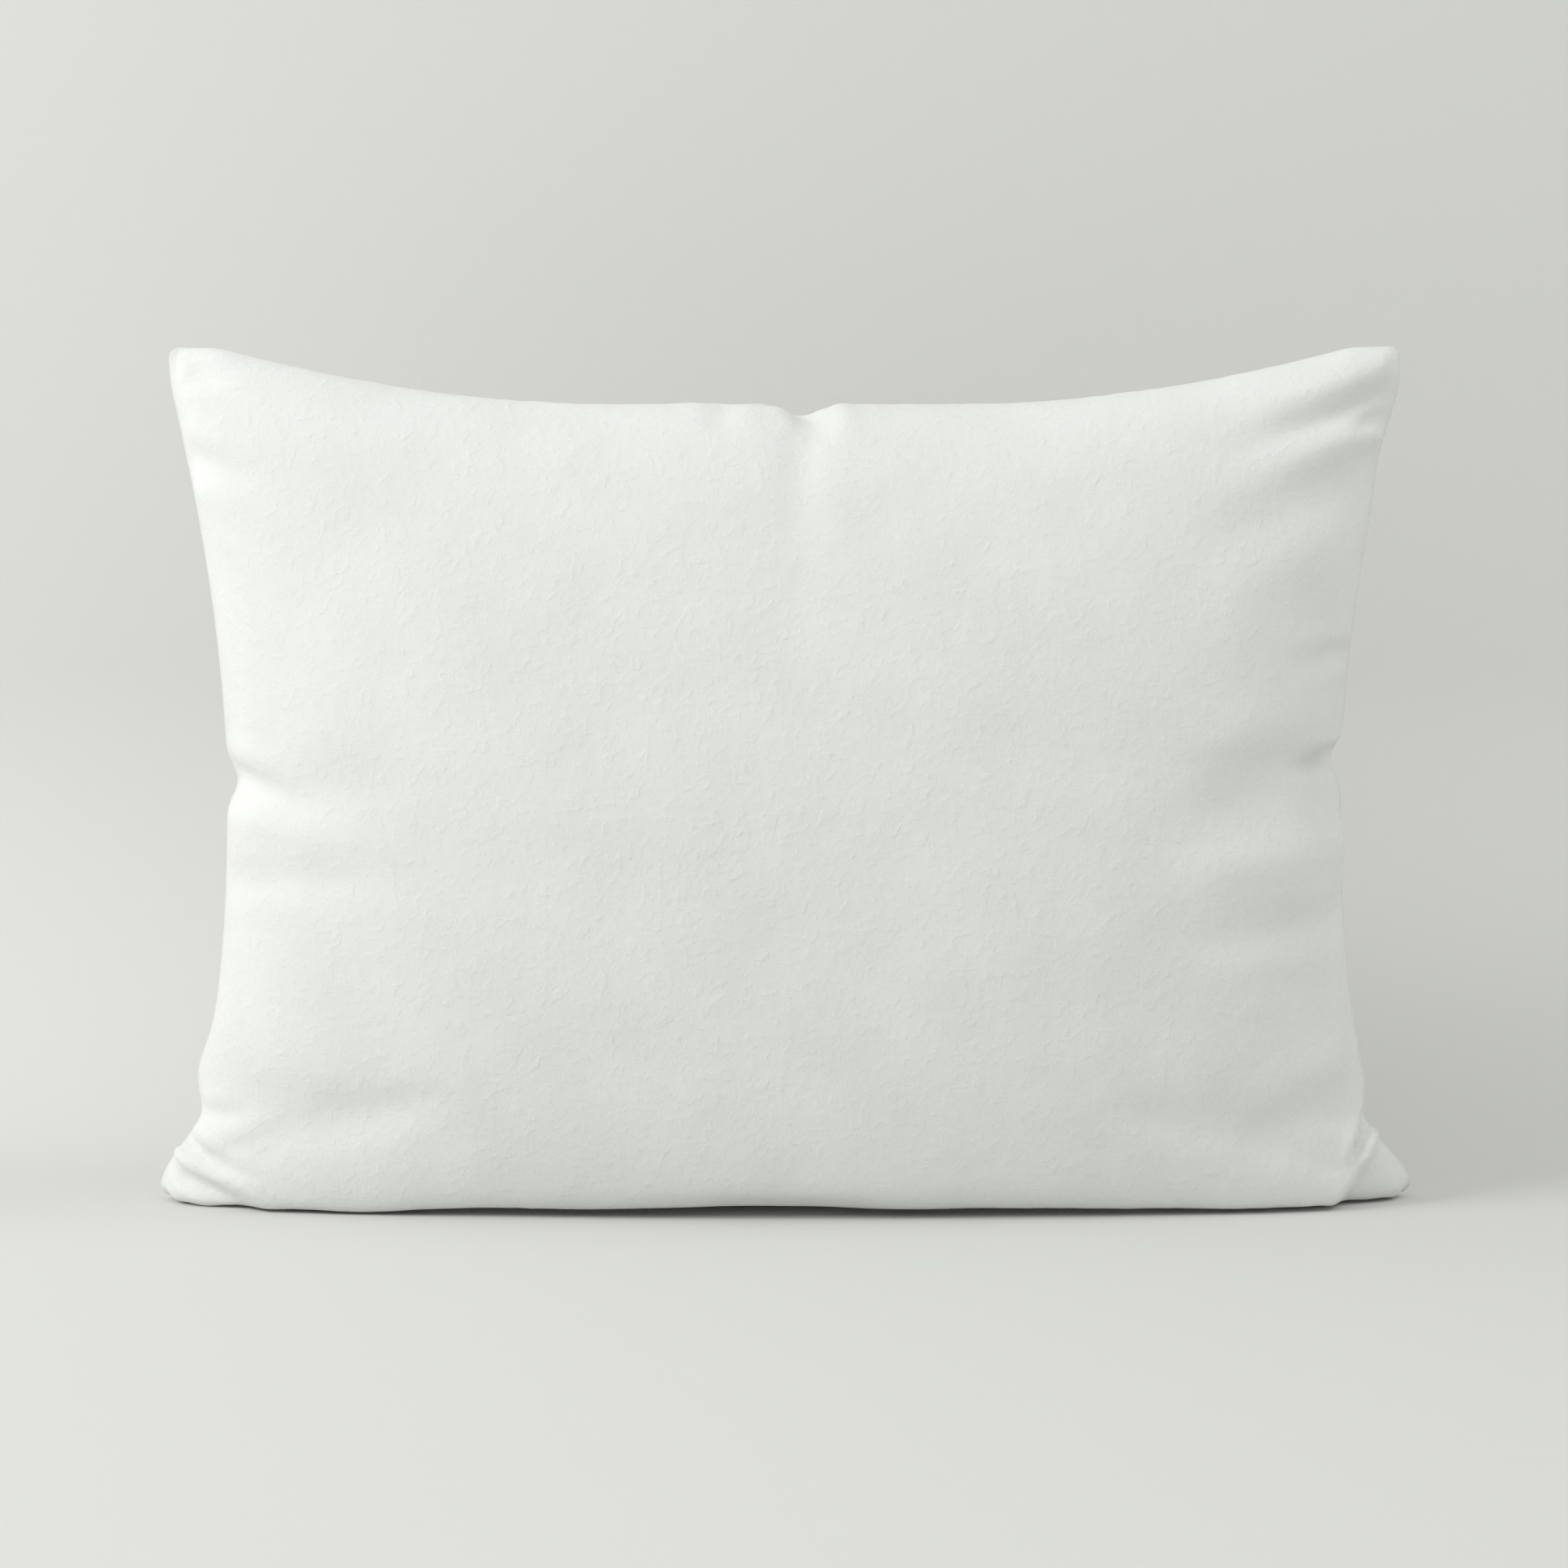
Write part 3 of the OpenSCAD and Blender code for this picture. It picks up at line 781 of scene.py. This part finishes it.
def fibre_material():
    """Bright crimped polyester fibre."""
    shader = Shader("fibre", (0.9, 0.9, 0.9), 0.7)
    body = shader.place("Object")
    strands = ridged(shader, shader.noise(body, 160.0, 4.0, 3.0))
    clumps = shader.noise(body, 35.0, 5.0)
    normal = shader.bump(shader.plus(strands, clumps), 1.2 * MM, 0.8)
    shader.set(Sheen_Weight=0.4)
    return shader.finish(shader.ramp(clumps, (0.80, 0.80, 0.81), (0.92, 0.92, 0.92)), normal)


def ribbed_material(name, low, high, rib, roughness):
    """Satin ribbon, zip tape or thread: fine ribs with a soft gloss."""
    shader = Shader(name, high, roughness)
    body = shader.place("Object")
    parts = shader.add("ShaderNodeSeparateXYZ", Vector=body)
    turns = 2 * math.pi / rib
    slant = shader.plus(parts.outputs[0], parts.outputs[1])
    herring = shader.math("SINE", shader.times(slant, turns))
    across = shader.math("SINE", shader.times(parts.outputs[2], turns))
    relief = shader.plus(herring, shader.times(across, 0.6))
    tone = shader.noise(body, 160.0, 3.0)
    shader.set(Sheen_Weight=0.2)
    return shader.finish(shader.ramp(tone, low, high), shader.bump(relief, 0.08 * MM, 0.6))


def nylon_material():
    """The coil's smooth, slightly cloudy nylon wire."""
    shader = Shader("coil_nylon", (0.82, 0.82, 0.80), 0.35)
    body = shader.place("Object")
    cloud = shader.noise(body, 900.0, 2.0)
    shader.set(Subsurface_Weight=0.1, Subsurface_Radius=(MM, MM, MM))
    normal = shader.bump(cloud, 0.03 * MM, 0.4)
    return shader.finish(shader.ramp(cloud, (0.76, 0.76, 0.74), (0.84, 0.84, 0.82)), normal)


def brushed_metal():
    """Zinc-plated metal, brushed along its length and dulled by handling."""
    shader = Shader("brushed_metal", (0.62, 0.62, 0.61), 0.35)
    body = shader.place("Object")
    brushing = shader.noise(shader.stretched(body, (300, 9000, 9000)), 1.0, 3.0)
    handling = shader.noise(body, 350.0, 3.0)
    roughness = shader.plus(0.16, shader.times(handling, 0.3))
    shader.set(Metallic=1, Anisotropic=0.4)
    color = shader.ramp(handling, (0.58, 0.58, 0.57), (0.76, 0.76, 0.75))
    return shader.finish(color, shader.bump(brushing, 0.02 * MM, 0.5), roughness)


def stage_material(name, color):
    """Matt studio paper that is clear from behind, so that it hides nothing in other views."""
    shader = Shader(name, color, 0.9)
    shader.set(Specular_IOR_Level=0.1)
    clear = shader.add("ShaderNodeBsdfTransparent")
    behind = shader.add("ShaderNodeNewGeometry").outputs["Backfacing"]
    mix = shader.add("ShaderNodeMixShader", Fac=behind)
    shader.put(shader.surface.outputs[0], mix.inputs[1])
    shader.put(clear.outputs[0], mix.inputs[2])
    shader.put(mix.outputs[0], shader.tree.nodes["Material Output"].inputs["Surface"])
    return shader.finish(shader.ramp(shader.noise(shader.place("Object"), 3.0), color, color))


COTTON = cotton("cover_cotton", (0.77, 0.775, 0.755), (0.83, 0.835, 0.82), 0.42 * MM, 0.42, 0.12)
TICKING = cotton("ticking_cotton", (0.70, 0.685, 0.63), (0.78, 0.765, 0.71), 0.55 * MM, 0.15, 0.05)
FIBRE = fibre_material()
THREAD = ribbed_material("sewing_thread", (0.78, 0.78, 0.76), (0.86, 0.86, 0.84), 0.35 * MM, 0.55)
SATIN = ribbed_material("label_satin", (0.80, 0.80, 0.80), (0.88, 0.88, 0.88), 0.3 * MM, 0.4)
TAPE = ribbed_material("zip_tape_weave", (0.72, 0.72, 0.70), (0.80, 0.80, 0.78), 1.1 * MM, 0.75)
NYLON = nylon_material()
METAL = brushed_metal()


# ======== the pieces
def put(piece, node, body="pillow"):
    """Makes a piece stand for a CAD node on its body, and hides that node."""
    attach(piece, body)
    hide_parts(node)
    return piece


def make_cover(panels):
    """Both panels of the cover."""
    grids = {
        FRONT: finished_panel(panels[FRONT], FRONT, FRONT_FOLDS, 31),
        BACK: finished_panel(panels[BACK], BACK, BACK_FOLDS, 57),
    }
    for side, word in SIDES.items():
        name = "cover_" + word
        piece = cover_panel(name + "_panel", leaning(grids[side]), side, COTTON)
        put(piece, name)
    return grids


def insert_grid(panel, side):
    """A ticking panel: the cover's shape, drawn in at the edges so that the ears stay empty."""
    rows, columns = 140, 100
    closing_reach, closing_power = 22 * MM, 1.3
    least_z, underside = 2.2 * MM, 25 * MM
    lift_half_t, lift_fade_t = 15 * MM, 10 * MM
    lift_half_w, lift_fade_w = 262 * MM, 40 * MM
    share_x, share_z = crossed(np.linspace(-1, 1, rows), np.linspace(0, 1, columns))
    inset_x, inset_z = INSERT_HIGH.x / HALF_W, INSERT_HIGH.z / TOP
    grid = sampled(panel, (share_x * inset_x + 1) / 2, share_z * inset_z)
    grid = grid - outward(grid, side) * INSERT_SLACK
    closing = 1 - np.exp(-((walked_from_edge(grid) / closing_reach) ** closing_power))
    grid[..., 1] = side * np.maximum(side * grid[..., 1] * closing, INSERT_RIM)
    grid[..., 2] = np.maximum(grid[..., 2], least_z)
    near_zip = 1 - smooth_step((np.abs(grid[..., 1]) - lift_half_t) / lift_fade_t)
    along_zip = 1 - smooth_step((np.abs(grid[..., 0]) - lift_half_w) / lift_fade_w)
    lift = np.where(grid[..., 2] < underside, near_zip * along_zip, 0)
    grid[..., 2] += (INSERT_SEAM_Z - grid[..., 2]) * lift
    return grid


def make_insert(panels):
    """The ticking's two panels."""
    crumple_height, crumple_size = 0.3 * MM, 14 * MM
    across = 2 * INSERT_HIGH.x + 20 * MM
    upward = INSERT_HIGH.z + 26 * MM
    grids = {}
    for side, word in SIDES.items():
        name = "ticking_" + word
        grid = insert_grid(panels[side], side)
        crumple = crumple_height * noise_field(grid, crumple_size, 5 + side)
        grid += outward(grid, side) * crumple[..., None]
        grid[..., 1] = side * np.maximum(side * grid[..., 1], INSERT_RIM)
        inner = grid - outward(grid, side) * TICKING_T
        uvs = cut_uvs(*grid.shape[:2], across, upward)
        piece = closed_sheet(name + "_panel", leaning(grid), leaning(inner), uvs, TICKING, side)
        put(piece, name)
        grids[side] = grid
    return grids


def make_filling(grids):
    """The crimped fibre: one closed, lumpy body."""
    least_gap, lump_height, lump_size = 1.4 * MM, 1.1 * MM, 12 * MM
    least_depth, least_z, trimmed = 0.05 * MM, 3.4 * MM, 2
    sides = {}
    for side, grid in grids.items():
        gap = least_gap + lump_height * (1 + noise_field(grid, lump_size, 40 + side))
        inner = grid - outward(grid, side) * gap[..., None]
        inner[..., 1] = side * np.maximum(side * inner[..., 1], least_depth)
        inner = inner[trimmed:-trimmed, trimmed:-trimmed]
        inner[..., 2] = np.maximum(inner[..., 2], least_z)
        sides[side] = inner
    rows, columns = sides[FRONT].shape[:2]
    count = rows * columns
    points = leaning(np.concatenate([sides[FRONT].reshape(-1, 3), sides[BACK].reshape(-1, 3)]))
    front_faces = grid_faces(rows, columns)
    rim = rim_numbers(rows, columns)
    after = np.roll(rim, -1)
    band = np.stack([after, rim, rim + count, after + count], axis=-1)
    faces = np.concatenate([front_faces, front_faces[:, ::-1] + count, band])
    piece = add_object("filling", points, faces.tolist(), FIBRE)
    put(piece, "fibre_fill")


def seam_line(grids):
    """A line round the rims that two panels share, drawn in to where the stitches are."""
    middle = (grids[FRONT] + grids[BACK]) / 2
    line = middle.reshape(-1, 3)[rim_numbers(*middle.shape[:2])]
    ahead = np.roll(line, -2, axis=0) - np.roll(line, 2, axis=0)
    inwards = unit(np.stack([-ahead[:, 2], np.zeros(len(line)), ahead[:, 0]], axis=-1))
    return line + inwards * SEAM_INSET


def open_stretch(line, half_length):
    """Which points of a seam line are in the open stretch at the middle of its lower edge."""
    underside = 30 * MM
    return (np.abs(line[:, 0]) < half_length) & (line[:, 2] < underside)


def outside(line, stretch):
    """The part of a closed line that is outside a stretch, from one end of it to the other."""
    first = int(np.nonzero(stretch)[0][-1]) + 1
    return np.roll(line, -first, axis=0)[: int((~stretch).sum())]


def stitched(line, stitch):
    """A thread that goes through two layers and back once in every two stitches."""
    points_each, squareness = 8, 3
    steps = np.linalg.norm(np.diff(line, axis=0), axis=1)
    walked = np.append(0, np.cumsum(steps))
    count = int(walked[-1] / stitch) * points_each
    place = np.linspace(0, walked[-1], count)
    path = np.stack([np.interp(place, walked, line[:, k]) for k in range(3)], axis=-1)
    path = leaning(path)
    wave = np.sin(2 * math.pi * place / (2 * stitch))
    path[:, 1] += SEAM_SWING * np.tanh(squareness * wave) / math.tanh(squareness)
    return tube(path, SEAM_THREAD_R, THREAD_SIDES)


def whip_stitch(edge, half_length):
    """A hand-sewn spiral of thread round the closed stretch of a seam."""
    pitch, points_each = 4 * MM, 10
    swing_y, swing_z, drop, radius = 0.75 * MM, 1.1 * MM, 0.6 * MM, 0.15 * MM
    turns = int(2 * half_length / pitch)
    angle = np.linspace(0, 2 * math.pi * turns, turns * points_each)
    x = np.linspace(-half_length + MM, half_length - MM, len(angle))
    order = np.argsort(edge[:, 0])
    level = np.interp(x, edge[order, 0], edge[order, 2])
    path = [x, swing_y * np.sin(angle), level - drop + swing_z * np.cos(angle)]
    return tube(np.stack(path, axis=-1), radius, THREAD_SIDES)


def make_seam_threads(cover_grids, insert_grids):
    """The cover's and the ticking's seam threads, and the hand-sewn stretch of the ticking."""
    closing_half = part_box("ticking_closing_stitch")[1].x
    cover_line, insert_line = seam_line(cover_grids), seam_line(insert_grids)
    in_slot = open_stretch(cover_line, SLOT_HALF_L + 3 * MM)
    closing = open_stretch(insert_line, closing_half)
    cover_seam = stitched(outside(cover_line, in_slot), COVER_STITCH)
    insert_seam = stitched(outside(insert_line, closing), INSERT_STITCH)
    hand_sewn = whip_stitch(insert_line[closing], closing_half)
    for name, node, thread in (
        ("cover_seam_stitches", "cover_seam_thread", cover_seam),
        ("ticking_seam_stitches", "ticking_seam_thread", insert_seam),
        ("ticking_whip_stitch", "ticking_closing_stitch", hand_sewn),
    ):
        put(joined_tubes(name, [thread], THREAD), node)


def ribbon(name, node, across, hang, held, curl):
    """A folded ribbon label: it runs out of the seam, turns over and comes back."""
    run_points, turn_points, width_points, looseness = 13, 7, 17, 1.6
    steps = np.linspace(0, 1, run_points)
    turn = np.linspace(-math.pi / 2, math.pi / 2, turn_points)[1:-1]
    gap = looseness * LABEL_T
    out = [(hang * u, gap + curl * u * u) for u in steps]
    fold = [(hang + gap * math.cos(a), curl - gap * math.sin(a)) for a in turn]
    back = [(hang * u, -gap + curl * u * u) for u in steps[::-1]]
    profile = np.array(out + fold + back)
    width = np.linspace(0, 1, width_points)
    grid = held(width[:, None], profile[None, :, 0], profile[None, :, 1])
    inner = grid - outward(grid, FRONT) * LABEL_T
    uvs = cut_uvs(*grid.shape[:2], across, 2 * hang)
    piece = closed_sheet(name, grid, inner, uvs, SATIN)
    put(piece, node)
    return piece


def make_labels(insert_grids):
    """The blank care label under the back hem, and the blank label on the insert's side seam."""
    low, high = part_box("care_label")
    ripple, sag, curl = 0.15 * MM, 0.4 * MM, 1.6 * MM

    def under_hem(along, out, down):
        """A place on the care label: its share of the width, and how far out and down it is."""
        x = low.x + (high.x - low.x) * (1 - along)
        y = 0.3 * MM + out
        z = low.z - sag - down + ripple * np.sin(9 * along) * out / high.y
        return np.stack(np.broadcast_arrays(x, y, z), axis=-1)

    across = high.x - low.x
    piece = ribbon("care_label_ribbon", "care_label", across, high.y - 0.8 * MM, under_hem, curl)

    low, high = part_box("insert_label")
    seam = (insert_grids[FRONT][0] + insert_grids[BACK][0]) / 2
    order = np.argsort(seam[:, 2])
    hang, wave, slight_curl = 9 * MM, 0.4 * MM, 0.2 * MM

    def from_side_seam(along, out, lean):
        """A place on the insert's label: its share of the width, and how far out and back."""
        z = low.z + (high.z - low.z) * along
        x = np.interp(z, seam[order, 2], seam[order, 0]) + SEAM_INSET - out
        y = lean + wave * np.sin(7 * along) * out / hang
        return np.stack(np.broadcast_arrays(x, y, z), axis=-1)

    across = high.z - low.z
    piece = ribbon("insert_label_ribbon", "insert_label", across, hang, from_side_seam, slight_curl)


def make_tapes():
    """The zip's two woven tapes, each thicker along the edge that carries the teeth."""
    for side, word in SIDES.items():
        name, panel = "zip_tape_" + word, "cover_" + word + "_panel"
        low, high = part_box(name)
        inner_edge = min(abs(low.y), abs(high.y))
        width = high.y - low.y
        thin, rib_height, ripple_height = 0.36 * MM, 0.12 * MM, 0.05 * MM
        rows, columns = 160, 25
        u, v = crossed(np.linspace(low.x, high.x, rows), np.linspace(0, 1, columns))
        y = side * (inner_edge + v * width)
        rib = bell(v, 0.10, 0.05) + bell(v, 0.22, 0.03) + bell(v, 0.95, 0.03)
        ripple = ripple_height * np.sin(u / (7 * MM)) * v
        lower = np.stack([u, y, np.full_like(u, low.z)], axis=-1)
        upper = np.stack([u, y, low.z + thin + rib_height * rib + ripple], axis=-1)
        uvs = cut_uvs(rows, columns, high.x - low.x, width)
        piece = closed_sheet(name + "_band", upper, lower, uvs, TAPE, -side)
        put(piece, name)


def make_coils():
    """The two rows of teeth: a flattened nylon spiral beside each tape's edge."""
    pitch, head, flatness, points_each = 1.5 * MM, 0.27 * MM, 2, 14
    for side, word in SIDES.items():
        name = "zip_coil_" + word
        low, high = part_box(name)
        root = max(abs(low.y), abs(high.y))
        turns = int((high.x - low.x - 2 * COIL_WIRE) / pitch)
        angle = np.linspace(0, 2 * math.pi * turns, turns * points_each + 1)
        offset = 0 if side == FRONT else pitch / 4
        x = low.x + COIL_WIRE + angle / (2 * math.pi) * pitch + offset
        half_y = (root - head) / 2 - COIL_WIRE
        half_z = (high.z - low.z) / 2 - COIL_WIRE
        swing = np.tanh(flatness * np.cos(angle)) / math.tanh(flatness)
        y = side * ((root + head) / 2 - half_y * swing)
        z = (low.z + high.z) / 2 + half_z * np.sin(angle)
        path = np.stack([np.minimum(x, high.x - COIL_WIRE), y, z], axis=-1)
        piece = joined_tubes(name + "_spiral", [tube(path, COIL_WIRE, COIL_SIDES)], NYLON)
        put(piece, name)


def topstitch(start_x, end_x, y, z):
    """One row of separate stitches, each dipping into the cloth at both ends."""
    stitch, gap, radius, dip, sides = 2.6 * MM, 0.5 * MM, 0.22 * MM, 0.45 * MM, 6
    share = np.linspace(0, 1, 6)
    rise = dip * (np.abs(2 * share - 1) ** 3)
    tubes = []
    for x in np.arange(start_x, end_x - stitch, stitch + gap):
        path = np.stack([x + share * stitch, np.full_like(share, y), z + rise], axis=-1)
        tubes.append(tube(path, radius, sides))
    return tubes


def bar_tack(x, half_w, z):
    """A dense zigzag of thread across the zip's end."""
    turns, half_length, radius, sides = 14, 0.45 * MM, 0.2 * MM, 6
    share = np.linspace(0, 1, turns * 4 + 1)
    zigzag = np.abs((share * turns) % 2 - 1) * 2 - 1
    y = half_w * (2 * share - 1)
    path = np.stack([x + half_length * zigzag, y, np.full_like(share, z)], axis=-1)
    return tube(path, radius, sides)


def make_zip_stitching():
    """Both rows of topstitching under the hems, and the bar tacks at the zip's ends."""
    row_y, row_z = 6.6 * MM, HEM_BOTTOM - 0.17 * MM
    tack_x, tack_half, tack_z = SLOT_HALF_L + 0.75 * MM, 4.8 * MM, HEM_BOTTOM - 0.15 * MM
    tubes = []
    for side in (FRONT, BACK):
        tubes += topstitch(-SLOT_HALF_L, SLOT_HALF_L, side * row_y, row_z)
    for end in (LEFT, RIGHT):
        tubes.append(bar_tack(end * tack_x, tack_half, tack_z))
    put(joined_tubes("zip_topstitching", tubes, THREAD), "zip_stitching")


def dress_metal():
    """The slider, pull and stops keep their CAD shape and get brushed metal."""
    for name in ("zip_slider", "zip_pull", "zip_top_stops", "zip_bottom_stop"):
        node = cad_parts[name]
        node.data.materials.clear()
        node.data.materials.append(METAL)


# ======== stage, lights and camera
def make_stage():
    """A pale floor, and a sweep of paper that curves up close behind the pillow."""
    half, floor_z = 6, -0.6 * MM
    half_w, front_y, bend_y, bend_radius, height = 5.0, -3.0, 0.10, 0.28, 2.2
    corners = [(x * half, y * half, floor_z) for x, y in ((-1, -1), (1, -1), (1, 1), (-1, 1))]
    floor_paper = stage_material("floor_paper", (0.73, 0.73, 0.72))
    ground = add_object("floor", corners, [(0, 1, 2, 3)], floor_paper)

    angle = np.linspace(0, math.pi / 2, 25)
    y = [front_y, *(bend_y + bend_radius * np.sin(angle)), bend_y + bend_radius]
    z = [0.0, *(bend_radius * (1 - np.cos(angle))), height]
    grid = np.array([[(x, *place) for place in zip(y, z)] for x in (-half_w, half_w)])
    sweep_paper = stage_material("sweep_paper", (0.70, 0.70, 0.68))
    faces = grid_faces(*grid.shape[:2]).tolist()
    sweep = add_object("sweep", grid.reshape(-1, 3), faces, sweep_paper)


def add_light(name, place, target, size, power):
    """A square area light, aimed at a point: its side in metres and its power in watts."""
    data = bpy.data.lights.new(name, "AREA")
    data.size = size
    data.energy = power
    light = bpy.data.objects.new(name, data)
    light.location = place
    light.rotation_euler = (Vector(target) - Vector(place)).to_track_quat("-Z", "Y").to_euler()
    bpy.context.scene.collection.objects.link(light)


def make_lights():
    """A large soft key light from the upper left, a weak one on the backdrop, and even light."""
    ambient = 0.73
    add_light("key", (-2.6, -1.45, 2.0), (0, 0, 0.2), 1.5, 55)
    add_light("backdrop", (2.2, -0.2, 2.4), (1.2, 0.38, 0.3), 1.2, 9)
    world = bpy.data.worlds.new("studio")
    world.use_nodes = True
    background = world.node_tree.nodes["Background"]
    background.inputs["Color"].default_value = (0.98, 1.0, 0.98, 1)
    background.inputs["Strength"].default_value = ambient
    bpy.context.scene.world = world


def make_camera():
    """The photograph's view: level with the pillow, a few degrees above it."""
    target = Vector((0, 0, 0.230))
    elevation, distance = math.radians(4), 2.017
    data = bpy.data.cameras.new("camera")
    data.lens, data.sensor_width = 85, 36
    camera = bpy.data.objects.new("camera", data)
    back = Vector((0, -math.cos(elevation), math.sin(elevation)))
    camera.location = target + distance * back
    camera.rotation_euler = (-back).to_track_quat("-Z", "Y").to_euler()
    bpy.context.scene.collection.objects.link(camera)
    bpy.context.scene.camera = camera


# ======== the whole scene
cover_grids = make_cover(simulated_panels())
insert_grids = make_insert(cover_grids)
make_filling(insert_grids)
make_seam_threads(cover_grids, insert_grids)
make_labels(insert_grids)
make_tapes()
make_coils()
make_zip_stitching()
dress_metal()
make_stage()
make_lights()
make_camera()
bpy.context.scene.view_settings.view_transform = "Standard"
